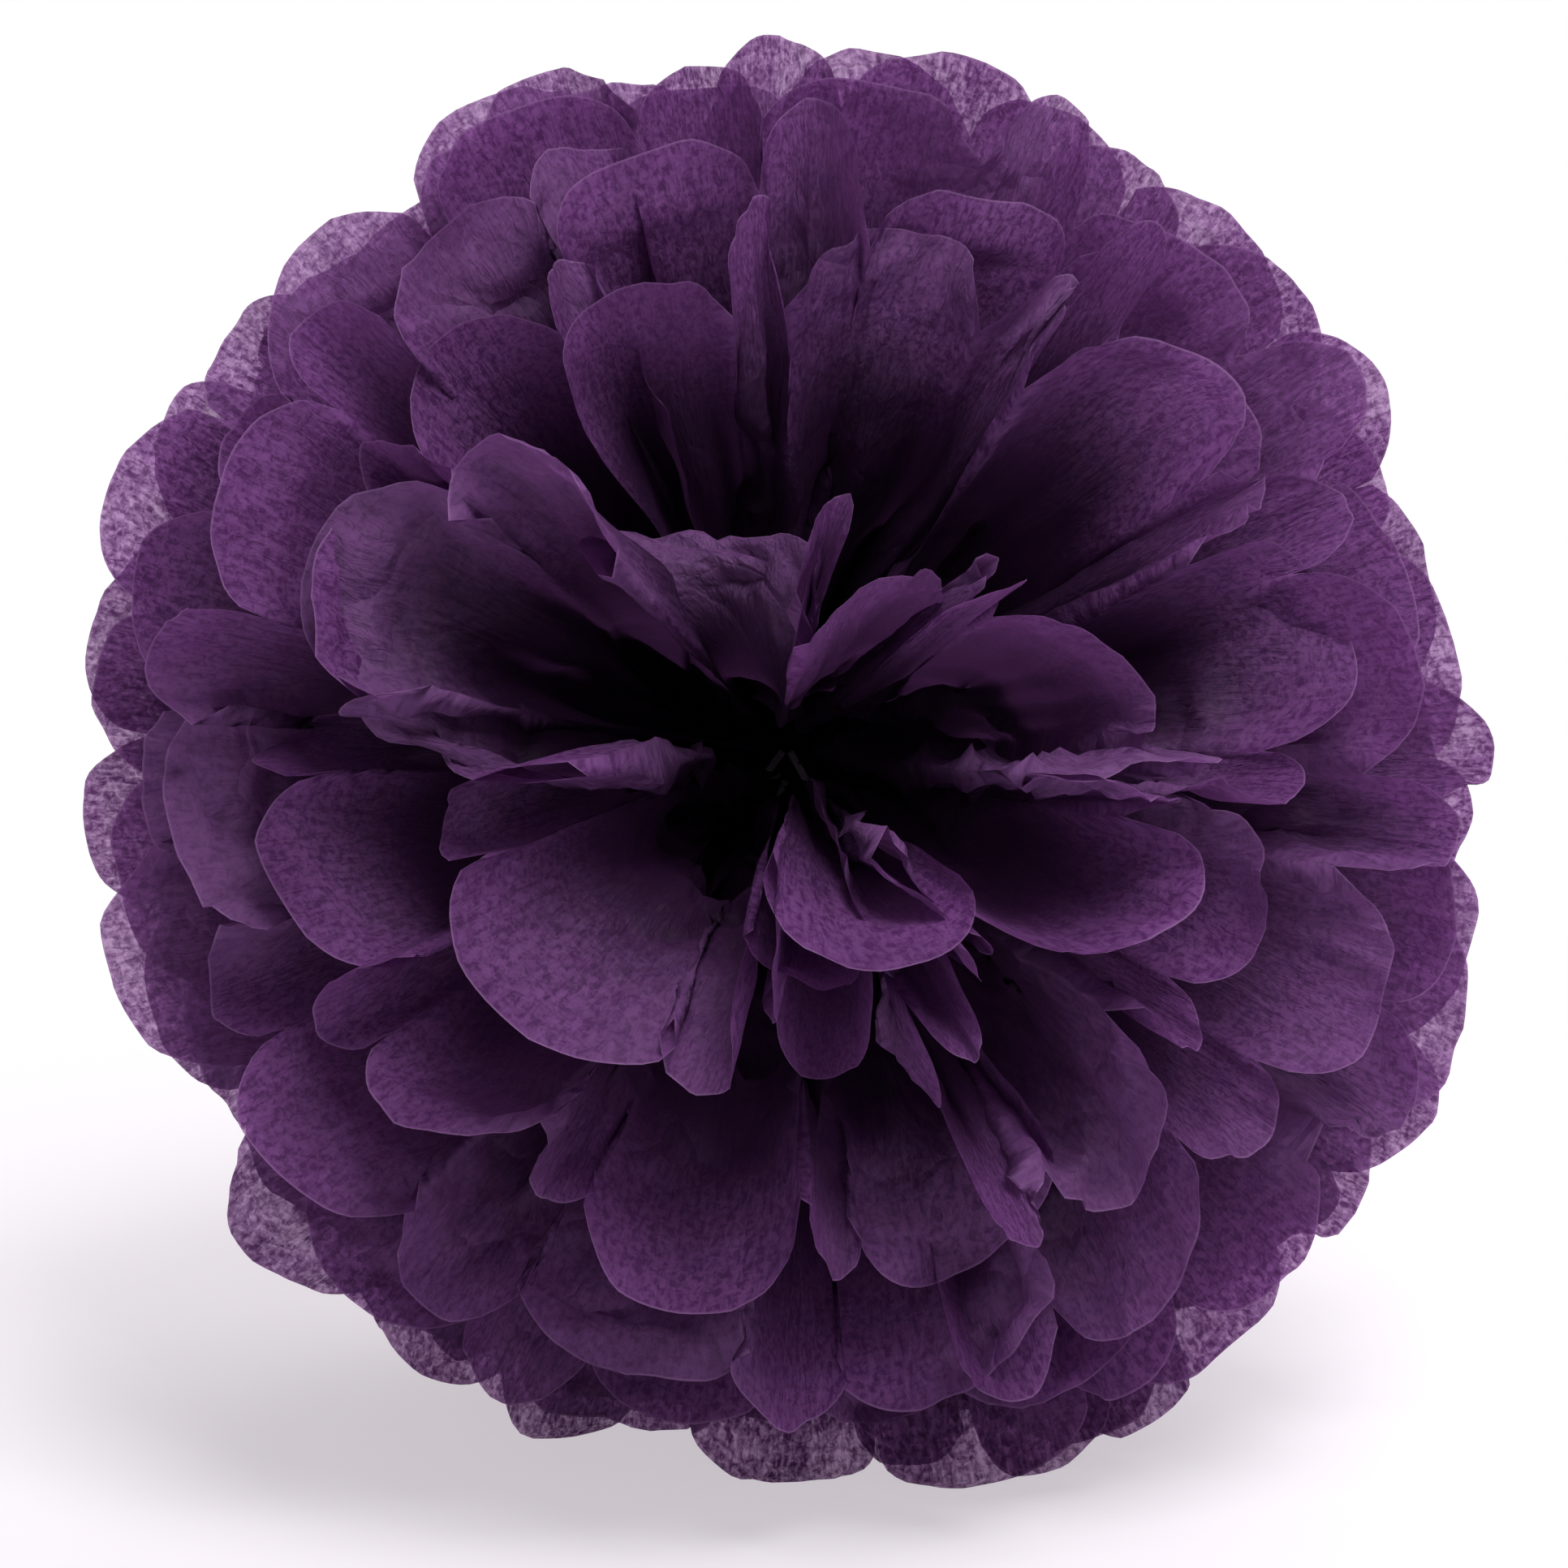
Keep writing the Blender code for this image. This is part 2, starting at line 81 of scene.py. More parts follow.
# Petals: slack that bulges, and ends that flop outward
MOST_SLACK = 0.35
CUP_RANGE = (0.3, 1)
LEAST_FLOP = 0.008
MORE_FLOP = 0.014
FLOP_RANGE = (0.5, 1.3)
FLOP_FROM = 0.55
CORNER_FLOP = 0.35

# How the ball lies
AXIS_TILT = math.radians(15)
AXIS_ROLL = math.radians(24)
SAG = 0.011
SPLAY = 0.6

# Sizes that follow from those
WAIST_HALF = WAIST_LENGTH / 2
TIP = SHEET_LENGTH / 2
NOTCH_REACH = TIP - SCALLOP_DEPTH - WAIST_HALF
REACH = TIP - WAIST_HALF
FAN_ANGLE = math.pi / 2 - SPLIT_ANGLE / 2
PANEL_ANGLE = 2 * FAN_ANGLE / PANEL_COUNT
PANEL_SPACING = WAIST_WIDTH / PANEL_COUNT
TOP_RISE = math.pi / 2 - FACE_ANGLE
RISE_STEP = 2 * TOP_RISE / (SHEET_COUNT - 1)
PLEAT_SLOPE = math.atan2(2 * PLEAT_RISE, PANEL_SPACING)
STACK_PITCH = (PAPER + LAYER_GAP) / math.cos(PLEAT_SLOPE)
CENTRE_HEIGHT = TIP - SAG
STAND = np.array(
    Matrix.Translation((0, 0, CENTRE_HEIGHT))
    @ Matrix.Rotation(math.pi / 2 - AXIS_TILT, 4, "X")
    @ Matrix.Rotation(AXIS_ROLL, 4, "Z")
)

# From here on, what only the fine sheets have. Even pleats at the waist give way to a sheet's
# own fold lines, over shares of the reach
FREE_START = 0.08
FREE_SPAN = 0.5
HEIGHT_GROWTH = 0.85
ROUNDING = 0.6
GATHERED = 0.4

# The share of a panel's width that is kept grows with this power of the reach; beside the axis
# a pleat has little room
KEPT_GROWTH = 0.25
LEAST_ROOM = 0.0016
ELBOW = 0.45
LEAST_TURN_RADIUS = 0.004

# How soon the waist's slit closes, and how far the halves lap over each other at the split
CLOSING = 0.0025
END_PANELS = 0.6
OVERLAP = math.radians(7)

# Finer pleats within a panel, which fade towards the rim
FINE_PLEATS = 3
MOST_FINE = 0.009
FINE_END = 0.5
FINE_FADE = 0.42

# Curl and length of the petals' ends
LEAST_CURL = 0.4
MORE_CURL = 2.0
CURL_SKEW = 1.3
SHORT_CURVE = 1.6
SHORTEN = 0.014
SHORTEN_FROM = 0.3
LONGEST = 0.0025

# The innermost sheet's free end at the split bulges the other way, as an arch over the hollow
FREE_END_CUP = -1.3

# The cut edge: how far the scallops differ in depth, and two waves along them, each of which
# has its own noise, read along a row of its table
DEPTH_STRAY = 0.12
WOBBLE_HEIGHT = 0.0014
WOBBLE_LENGTH = 0.0045
WOBBLE_ROW = 3.3
WOBBLE_SEED = 7
LEAN_HEIGHT = 0.003
LEAN_LENGTH = 0.015
LEAN_ROW = 1.7
LEAN_SEED = 8

# Dents and creases: heights, and lengths along and across the sheet
PATCH_LENGTH = 0.042
PATCH_WIDTH = 0.036
PATCH_GAIN = 3.2
PATCH_FROM = 1.5
DENT_HEIGHT = 0.0034
DENT_LENGTH = 0.024
DENT_WIDTH = 0.022
RIDGE_HEIGHT = 0.0030
RIDGE_LENGTH = 0.014
RIDGE_WIDTH = 0.011
RIDGE_SLANT = 0.03
RIDGE_EVERYWHERE = 0.2
CREASE_HEIGHT = 0.0015
CREASE_LENGTH = 0.0085
CREASE_WIDTH = 0.0075
CREASE_SLANT = 0.021
CREASE_TURN = 0.03
CREASE_EVERYWHERE = 0.1
RAY_HEIGHT = 0.0009
RAY_LENGTH = 0.085
RAY_WIDTH = 0.0068
EVEN_LENGTH = 0.05
TIGHT = 0.7
NOISE_SHIFT = 1

# What rests on the floor
FLOOR_GAP = 0.00005
SPLAY_RISE = 0.12
HALVINGS = 30

# Fineness of the sheets: columns in a panel, which crowd towards its fold lines, and rows in a
# half, of which the outer ones take up the scallops
COLUMNS = 24
CROWDING = 0.04
ROWS_OUT = 72
SCALLOP_POWER = 5

# Seeds of the shared draws, of the draws that only the fine sheets have, and of the dents
SEED = 100
FINE_SEED = 500
DENT_SEED = 1000
DENT_SEED_STEP = 20
NOISE_CELLS = 64

# Fold lines of the innermost sheet's rim, seen from the front about the middle of the hollow:
# degrees counterclockwise from the right, and hundredths of the ball's radius out. Both halves
# run from the split below to the one above.
INNER_RIM = {
    1: ((-63, 15), (-59, 36), (-47, 37), (-44, 20), (-41, 37), (-9, 48), (-6, 33), (-3, 50),
        (29, 38), (32, 24), (36, 33), (70, 13), (73, 22)),
    -1: ((320, 27), (250, 14), (258, 32), (287, 33), (252, 25), (246, 38), (198, 37), (189, 24),
         (176, 49), (149, 50), (141, 29), (84, 14), (77, 21)),
}


# Dents and creases over the flat sheet


def smooth(share):
    share = np.clip(share, 0, 1)
    return share * share * (3 - 2 * share)


class Noise:
    """Smooth noise between 0 and 1 over a plane, from a table of seeded values."""

    def __init__(self, seed):
        self.table = np.random.default_rng(seed).random((NOISE_CELLS, NOISE_CELLS))

    def __call__(self, x, y):
        column = np.floor(x).astype(int)
        row = np.floor(y).astype(int)
        across = smooth(x - column)
        up = smooth(y - row)

        def corner(right, above):
            return self.table[(column + right) % NOISE_CELLS, (row + above) % NOISE_CELLS]

        low = corner(0, 0) * (1 - across) + corner(1, 0) * across
        high = corner(0, 1) * (1 - across) + corner(1, 1) * across
        return low * (1 - up) + high * up


def ridges(noise, x, y):
    """1 along the crests of a net of creases, less beside them."""
    return 1 - np.abs(2 * noise(x, y) - 1)


def crumple(seed, along, across):
    """Height of soft dents and creases, in metres, and how crumpled the paper is at each point."""
    dents, ridge, ray, patch, crease = [Noise(seed + number) for number in range(5)]
    crumpled = np.clip(PATCH_GAIN * patch(along / PATCH_LENGTH, across / PATCH_WIDTH) - PATCH_FROM, 0, 1)
    height = DENT_HEIGHT * (dents(along / DENT_LENGTH, across / DENT_WIDTH) - 0.5)
    net = ridges(ridge, along / RIDGE_LENGTH + across / RIDGE_SLANT, across / RIDGE_WIDTH)
    height += RIDGE_HEIGHT * net**3 * (RIDGE_EVERYWHERE + crumpled)
    slanted = along / CREASE_LENGTH - across / CREASE_SLANT
    net = ridges(crease, slanted, across / CREASE_WIDTH + along / CREASE_TURN)
    height += CREASE_HEIGHT * net**3 * (CREASE_EVERYWHERE + crumpled)
    height += RAY_HEIGHT * ridges(ray, along / RAY_LENGTH, across / RAY_WIDTH) ** 2
    return height, crumpled


# The open shape of a sheet


class Sheet:
    """Where each point of one flat sheet lies once the stack is tied and opened."""

    def __init__(self, index, neighbour=None):
        self.index = index
        self.level = (SHEET_COUNT - 1) / 2 - index
        self.inner = abs(self.level) / ((SHEET_COUNT - 1) / 2)
        self.rise = self.level * RISE_STEP
        self.start_height = self.level * STACK_PITCH
        centre = (SHEET_COUNT - 1) / 2 * STACK_PITCH + BEND_RADIUS
        turn_radius = centre - abs(self.start_height)
        turn_length = turn_radius * abs(self.rise)
        flare_start = FLARE_START * REACH
        self.stages = (
            (turn_length, self.rise),
            (flare_start - turn_length, 0),
            (REACH - flare_start, -self.rise * FLARE),
        )
        self.face = math.copysign(1, self.rise)
        self.rim_radius, _, self.rim_heading = [float(v) for v in self.walk(np.array(REACH))]
        chance = np.random.default_rng(SEED + index)
        self.halves = {side: self.folds(side, chance) for side in (-1, 1)}
        if neighbour:
            self.keep_clear(neighbour)

    def folds(self, side, chance):
        """Rim places (in panels) and heights of one half's fold lines, and how its petals hang."""
        lines = np.arange(PANEL_COUNT + 1)
        if self.index == 0:
            turn, out = np.array(INNER_RIM[side]).T
            turn = np.radians(turn) - AXIS_ROLL
            places = (turn if side > 0 else math.pi - turn) / PANEL_ANGLE + PANEL_COUNT / 2
            heights = (self.rim_radius - out / 100 * TIP) / math.sin(self.rim_heading)
        else:
            uneven = LEAST_UNEVEN + MORE_UNEVEN * self.inner**UNEVEN_CURVE
            wide = np.where((lines[:-1] + (side > 0)) % 2 == 0, 1, -1)
            shares = 1 + uneven * wide * chance.uniform(*UNEVEN_RANGE, PANEL_COUNT)
            shares += WIDTH_STRAY * chance.uniform(-1, 1, PANEL_COUNT)
            shares = np.maximum(shares, LEAST_SHARE)
            shares *= (PANEL_COUNT - 2 * SPLIT_BACK) / shares.sum()
            places = SPLIT_BACK + np.concatenate([[0], np.cumsum(shares)])
            places += side * SWIRL * (1 if self.index % 2 else -1)
            width = self.rim_radius * PANEL_ANGLE * shares
            need = np.sqrt(np.clip((WIDTH_USED * PANEL_WIDTH) ** 2 - width**2, 0, None))
            need = np.minimum(need, MOST_FOLD) * chance.uniform(*FOLD_RANGE, PANEL_COUNT)
            need = np.where(wide > 0, need * (1 - WIDE_FLATTER * self.inner), need)
            way = np.where(lines[:-1] % 2 == 0, -1, 1)
            heights = np.concatenate([[0], np.cumsum(way * need)])
            heights -= np.linspace(heights[0], heights[-1], PANEL_COUNT + 1)
            heights -= heights.mean()
            heights += LOOSE_HEIGHT * chance.uniform(-1, 1, PANEL_COUNT + 1)
        flop = (LEAST_FLOP + MORE_FLOP * self.inner**2) * chance.uniform(*FLOP_RANGE, PANEL_COUNT)
        cup = chance.uniform(*CUP_RANGE, PANEL_COUNT)
        if self.index == 0 and side < 0:
            cup[0] = FREE_END_CUP
        fine_chance = np.random.default_rng(FINE_SEED + 2 * self.index + (side > 0))
        return {
            "places": places,
            "heights": heights,
            "flop": flop,
            "cup": cup,
            "depth": fine_chance.uniform(-1, 1, PANEL_COUNT),
            "skew": fine_chance.uniform(-1, 1, PANEL_COUNT),
            "curl": LEAST_CURL + MORE_CURL * fine_chance.uniform(0, 1, PANEL_COUNT) ** 2,
            "short": fine_chance.uniform(0, 1, PANEL_COUNT) ** SHORT_CURVE,
        }

    def rim(self):
        """Angles round the axis and heights of the fold lines of both halves, finely divided."""
        angles = []
        heights = []
        fine = np.linspace(0, PANEL_COUNT, RIM_STEPS * PANEL_COUNT + 1)
        lines = np.arange(PANEL_COUNT + 1)
        for side, half in self.halves.items():
            turn = (np.interp(fine, lines, half["places"]) - PANEL_COUNT / 2) * PANEL_ANGLE
            angles.append(turn if side > 0 else math.pi - turn)
            heights.append(np.interp(fine, lines, half["heights"]))
        return np.concatenate(angles), np.concatenate(heights)

    def keep_clear(self, neighbour):
        """Fold lines give way to the sheet inside this one, which was opened before it."""
        angles, heights = neighbour.rim()
        apart = RISE_STEP * REACH - CLEAR
        for side, half in self.halves.items():
            turn = (half["places"] - PANEL_COUNT / 2) * PANEL_ANGLE
            turn = turn if side > 0 else math.pi - turn
            for line in range(PANEL_COUNT + 1):
                off = np.abs((angles - turn[line] + math.pi) % (2 * math.pi) - math.pi)
                near = heights[off < CLEAR_PANELS * PANEL_ANGLE]
                if self.face > 0:
                    half["heights"][line] = min(half["heights"][line], near.min() + apart)
                else:
                    half["heights"][line] = max(half["heights"][line], near.max() - apart)

    def walk(self, distance):
        """Radius, height and heading at a distance along the middle of a pleat."""
        radius = np.zeros_like(distance)
        height = np.zeros_like(distance)
        heading = np.zeros_like(distance)
        left = np.array(distance)
        for length, turn in self.stages:
            step = np.minimum(left, length)
            angle = turn * step / length
            half = np.where(np.abs(angle) > 1e-9, angle / 2, 1)
            chord = step * np.where(np.abs(angle) > 1e-9, np.sin(half) / half, 1)
            radius = radius + chord * np.cos(heading + angle / 2)
            height = height + chord * np.sin(heading + angle / 2)
            heading = heading + angle
            left = left - step
        return radius, height, heading

    def place(self, side, distance, panel):
        """Points of one half at distances from its waist and places across, in panels."""
        half = self.halves[side]
        opened = distance / REACH
        radius, height, heading = self.walk(distance)
        lobe = np.clip(panel.astype(int), 0, PANEL_COUNT - 1)
        within = panel - lobe
        middle = np.maximum(4 * within * (1 - within), 0)
        free = smooth((opened - FREE_START) / FREE_SPAN)

        def between(values, share):
            return values[lobe] * (1 - share) + values[lobe + 1] * share

        # Round the axis: even pleats at the waist, the fold lines' own places at the rim
        places = half["places"]
        even = panel - PANEL_COUNT / 2
        own = between(places, within) - PANEL_COUNT / 2
        azimuth = (even * (1 - free) + own * free) * PANEL_ANGLE
        azimuth += even / PANEL_COUNT * 2 * OVERLAP * smooth(distance / CLOSING)
        spacing = PANEL_SPACING * np.cos(azimuth) + radius * PANEL_ANGLE
        width = spacing * (1 - free + free * np.abs(places[lobe + 1] - places[lobe]))

        # Off the cone: even pleats at the waist, the fold lines' own heights at the rim
        kept = PANEL_WIDTH * opened**KEPT_GROWTH
        deep = np.minimum(np.sqrt(np.maximum(kept**2 - spacing**2, 0)), radius + LEAST_ROOM)
        growth = opened**HEIGHT_GROWTH
        rounded = within * (1 - ROUNDING * free) + smooth(within) * ROUNDING * free
        pleats = (2 * np.abs(panel % 2 - 1) - 1) * deep / 2
        offset = pleats * (1 - free) + between(half["heights"], rounded) * growth * free

        # Slack bulges square to the chord between two fold lines. A shallow arch that is longer
        # than its chord by a share s rises by the root of 3/8 s of the chord.
        climb = (half["heights"][lobe + 1] - half["heights"][lobe]) * growth * free
        chord = np.sqrt(width**2 + (deep * (1 - free) + np.abs(climb)) ** 2)
        slack = np.clip(kept / chord - 1, 0, MOST_SLACK)
        bulge = chord * np.sqrt(3 / 8 * slack) * free * half["cup"][lobe]
        offset -= self.face * bulge * middle * width / chord
        shares = np.abs(np.diff(places))
        shares = np.concatenate([shares[:1], shares, shares[-1:]])
        elbow = ELBOW * np.minimum(shares[lobe], shares[lobe + 2]) * spacing
        aside = np.clip(self.face * bulge * middle * climb / chord, -elbow, elbow)
        azimuth += aside / np.maximum(radius, LEAST_TURN_RADIUS)

        # What slack is left stands in finer pleats
        left_over = np.sqrt(np.maximum(kept**2 - chord**2 - 16 / 3 * bulge**2, 0)) / FINE_PLEATS
        fine = np.minimum(left_over, MOST_FINE) * (1 - smooth((opened - FINE_END) / FINE_FADE))
        offset += np.cos(FINE_PLEATS * np.pi * panel) * fine / 2

        # The end of a petal curls outward along an arc, which keeps its length
        reach = (1 - FLOP_FROM) * REACH
        beyond = np.maximum(distance - FLOP_FROM * REACH, 0)
        skew = 1 + CURL_SKEW * half["skew"][lobe] * (within - 0.5)
        corner = CORNER_FLOP + (1 - CORNER_FLOP) * middle**0.5
        curve = 2 * half["flop"][lobe] * half["curl"][lobe] * skew * corner / reach**2
        offset -= self.face * (1 - np.cos(curve * beyond)) / curve
        shorter = beyond - np.sin(curve * beyond) / curve

        # Petals differ in length, and a fold line takes the mean of the two beside it
        beside = np.concatenate([half["short"][:1], half["short"], half["short"][-1:]])
        beside = (beside[1:] + beside[:-1]) / 2
        short = between(beside, within) * (1 - middle) + half["short"][lobe] * middle
        grown = smooth((opened - SHORTEN_FROM) / (1 - SHORTEN_FROM))
        shorter += (SHORTEN * short - LONGEST) * grown

        apart = WAIST_HALF * (1 - smooth(distance / CLOSING))
        apart = apart * smooth(np.minimum(panel, PANEL_COUNT - panel) / END_PANELS)
        radius = radius - np.cos(heading) * shorter
        height = height - np.sin(heading) * shorter
        radius = np.maximum(radius - np.sin(heading) * offset, PAPER)
        x = side * (apart + radius * np.cos(azimuth))
        y = even * PANEL_SPACING * (1 - GATHERED * free) + radius * np.sin(azimuth)
        z = self.start_height + height + np.cos(heading) * offset
        return np.stack((x, y, z, np.ones_like(x)), axis=-1) @ STAND[:3].T

    def settle(self, side, distance, panel):
        """Points on the stand, with petals that reach the floor laid out along it."""
        resting = PAPER / 2
        points = self.place(side, distance, panel)
        low = points[..., 2] < resting
        if low.any():
            end = distance[low]
            across = panel[low]
            near = np.zeros_like(end)
            far = end.copy()
            for _ in range(HALVINGS):
                middle = (near + far) / 2
                above = self.place(side, middle, across)[..., 2] > resting
                near = np.where(above, middle, near)
                far = np.where(above, far, middle)
            laid = self.place(side, near, across)
            forward = -1 if self.rise > -AXIS_TILT else 1
            out = np.stack((laid[:, 0] / TIP, laid[:, 1] / TIP + SPLAY * forward), axis=-1)
            out /= np.linalg.norm(out, axis=-1, keepdims=True)
            laid[:, :2] += out * (end - near)[:, None]
            laid[:, 2] = resting + SPLAY_RISE * (end - near)
            points[low] = laid
        return points

    def outline(self, side, panel, seed):
        """How far the cut edge lies from the waist at each place across the sheet."""
        lobe = np.clip(panel.astype(int), 0, PANEL_COUNT - 1)
        within = panel - lobe
        arch = np.sqrt(np.clip(1 - (2 * within - 1) ** 2, 0, 1))
        depth = SCALLOP_DEPTH * (1 + DEPTH_STRAY * self.halves[side]["depth"][lobe])
        wide = panel * PANEL_WIDTH
        wobble_row = np.full_like(panel, WOBBLE_ROW * side)
        wobble = Noise(seed + WOBBLE_SEED)(wide / WOBBLE_LENGTH, wobble_row) - 0.5
        lean_row = np.full_like(panel, LEAN_ROW * side)
        lean = Noise(seed + LEAN_SEED)(wide / LEAN_LENGTH, lean_row) - 0.5
        edge = NOTCH_REACH + depth * arch + (WOBBLE_HEIGHT * wobble + LEAN_HEIGHT * lean) * arch
        return np.minimum(edge, REACH)


def open_stack():
    """The sheets in order; each gives way to the one nearer its face."""
    sheets = [None] * SHEET_COUNT
    for order in (range(SHEET_COUNT // 2), range(SHEET_COUNT - 1, SHEET_COUNT // 2 - 1, -1)):
        before = None
        for index in order:
            before = sheets[index] = Sheet(index, before)
    return sheets


# Sheets as objects


def grid_mesh(name, points, flat, rim):
    """A mesh object from a grid of points, with the flat sheet and the cut edge as texture maps."""
    rows, columns = points.shape[:2]
    index = np.arange(rows * columns).reshape(rows, columns)
    quads = np.stack((index[:-1, :-1], index[1:, :-1], index[1:, 1:], index[:-1, 1:]), axis=-1)
    quads = quads.reshape(-1, 4)
    mesh = bpy.data.meshes.new(name)
    mesh.vertices.add(rows * columns)
    mesh.vertices.foreach_set("co", points.reshape(-1).astype(np.float32))
    mesh.loops.add(quads.size)
    mesh.loops.foreach_set("vertex_index", quads.reshape(-1).astype(np.int32))
    mesh.polygons.add(len(quads))
    mesh.polygons.foreach_set("loop_start", np.arange(0, quads.size, 4, dtype=np.int32))
    mesh.update(calc_edges=True)
    for layer_name, values in (("flat", flat), ("rim", rim)):
        layer = mesh.uv_layers.new(name=layer_name)
        corners = values.reshape(-1, 2)[quads.reshape(-1)]
        layer.data.foreach_set("uv", corners.reshape(-1).astype(np.float32))
    mesh.validate()
    mesh.shade_smooth()
    obj = bpy.data.objects.new(name, mesh)
    bpy.context.scene.collection.objects.link(obj)
    return obj


def surface_normals(points):
    normal = np.cross(np.gradient(points, axis=0), np.gradient(points, axis=1))
    return normal / np.maximum(np.linalg.norm(normal, axis=-1, keepdims=True), 1e-12)


def columns_across():
    """Places across a sheet, in panels, that crowd a little towards the fold lines."""
    within = np.arange(COLUMNS) / COLUMNS
    within = within - CROWDING * np.sin(2 * np.pi * within)
    across = np.concatenate([lobe + within for lobe in range(PANEL_COUNT)] + [[PANEL_COUNT]])
    return np.clip(across, 0, PANEL_COUNT - 1e-9)


def half_sheet(sheet, side):
    """Grids of one half: points, places on the flat sheet, and distance to the cut edge with
    the share that is crumpled."""
    seed = DENT_SEED + DENT_SEED_STEP * sheet.index
    across = columns_across()
    share = np.linspace(0, 1, ROWS_OUT + 1)[:, None]
    edge = sheet.outline(side, across, seed)
    distance = share * NOTCH_REACH + (edge - NOTCH_REACH)[None, :] * share**SCALLOP_POWER
    panel = np.broadcast_to(across, distance.shape)
    points = sheet.settle(side, distance, panel)
    along = side * (WAIST_HALF + distance)
    wide = panel * PANEL_WIDTH
    rough, crumpled = crumple(seed, along + NOISE_SHIFT, wide + NOISE_SHIFT)
    rough *= np.clip(distance / EVEN_LENGTH, 0, 1)
    spread = np.linalg.norm(np.gradient(points, axis=1), axis=-1) * COLUMNS / PANEL_WIDTH
    rough *= smooth(spread / TIGHT)
    points = points + surface_normals(points) * rough[..., None]
    points[..., 2] = np.maximum(points[..., 2], FLOOR_GAP)
    flat = np.stack((along, wide), axis=-1)
    rim = np.stack((edge[None, :] - distance, crumpled), axis=-1)
    return points, flat, rim


def make_sheet(sheet, material):
    halves = [[grid[::side] for grid in half_sheet(sheet, side)] for side in (-1, 1)]
    grids = [np.concatenate(pair) for pair in zip(*halves)]
    name = f"sheet_{sheet.index + 1:02d}"
    obj = grid_mesh(f"tissue_{name}", *grids)
    obj.data.materials.append(material)
    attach(obj, "root")
    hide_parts(name)


# Nodes that several materials use


def new_material(name):
    material = bpy.data.materials.new(name)
    material.use_nodes = True
    return material, material.node_tree


def set_socket(tree, socket, value):
    """Give a socket a number of its own, or link another node's output to it."""
    if isinstance(value, (int, float)):
        socket.default_value = value
    else:
        tree.links.new(value, socket)


def math_node(tree, operation, first, second):
    node = tree.nodes.new("ShaderNodeMath")
    node.operation = operation
    set_socket(tree, node.inputs[0], first)
    set_socket(tree, node.inputs[1], second)
    return node.outputs["Value"]


def ramp(tree, source, low, high, colour_low, colour_high):
    """One colour up to the low value, another from the high one on, and a blend between."""
    node = tree.nodes.new("ShaderNodeValToRGB")
    stops = node.color_ramp.elements
    stops[0].position = low
    stops[1].position = high
    stops[0].color = (*colour_low, 1)
    stops[1].color = (*colour_high, 1)
    tree.links.new(source, node.inputs["Fac"])
    return node.outputs["Color"]


def soft_step(tree, source, start, end, low, high):
    node = tree.nodes.new("ShaderNodeMapRange")
    node.interpolation_type = "SMOOTHSTEP"
    node.inputs["From Min"].default_value = start
    node.inputs["From Max"].default_value = end
    node.inputs["To Min"].default_value = low
    node.inputs["To Max"].default_value = high
    tree.links.new(source, node.inputs["Value"])
    return node.outputs["Result"]


def colour_mix(tree, factor, first, second):
    node = tree.nodes.new("ShaderNodeMix")
    node.data_type = "RGBA"
    tree.links.new(factor, node.inputs["Factor"])
    tree.links.new(first, node.inputs["A"])
    node.inputs["B"].default_value = (*second, 1)
    return node.outputs["Result"]


def shader_mix(tree, factor, first, second):
    node = tree.nodes.new("ShaderNodeMixShader")
    set_socket(tree, node.inputs["Fac"], factor)
    tree.links.new(first, node.inputs[1])
    tree.links.new(second, node.inputs[2])
    return node.outputs["Shader"]


# Tissue. A ramp's two ends are the dense and the thin spots of the mottle.

DENSE_COLOUR = (0.056, 0.013, 0.074)
THIN_COLOUR = (0.195, 0.070, 0.236)
COLOUR_RANGE = (0.42, 0.60)
CRUMPLED_PALE_COLOUR = (0.22, 0.11, 0.26)
CRUMPLED_PALE_SHARE = 0.6
# Painted highlight: a thin pale line along the cut edge, where light comes through the thin paper
EDGE_HIGHLIGHT_COLOUR = (0.30, 0.15, 0.34)
EDGE_HIGHLIGHT_SHARE = 0.55
EDGE_HIGHLIGHT_RANGE_MM = (0.12, 0.5)
# Painted shade: the paper darkens towards near black further in from the cut edge, where the layers
# shade each other
PAINTED_SHADE_COLOUR = (0.010, 0.002, 0.013)
PAINTED_SHADE_SHARE = 0.93
PAINTED_SHADE_RANGE = (0.002, 0.041)
GLOW_COLOUR = (0.34, 0.10, 0.40)
GLOW_SHARE = 0.10
THROUGH_DENSE = (0.36, 0.13, 0.42)
THROUGH_THIN = (0.80, 0.56, 0.84)
THROUGH_RANGE = (0.40, 0.60)
THROUGH_LEAST = 0.06
THROUGH_MOST = 0.42
CLOUD_SHARE = 0.6
MOTTLE_SHARE = 0.75
CREASE_SCALE = 62
CREASE_WARP = 0.012
CREASE_REACH = 0.16
CREASE_LEAST = 1.2
CREASE_MORE = 5
FIBRE_RELIEF = 0.8
BUMP_STRENGTH = 0.85
BUMP_HEIGHT = 0.0009


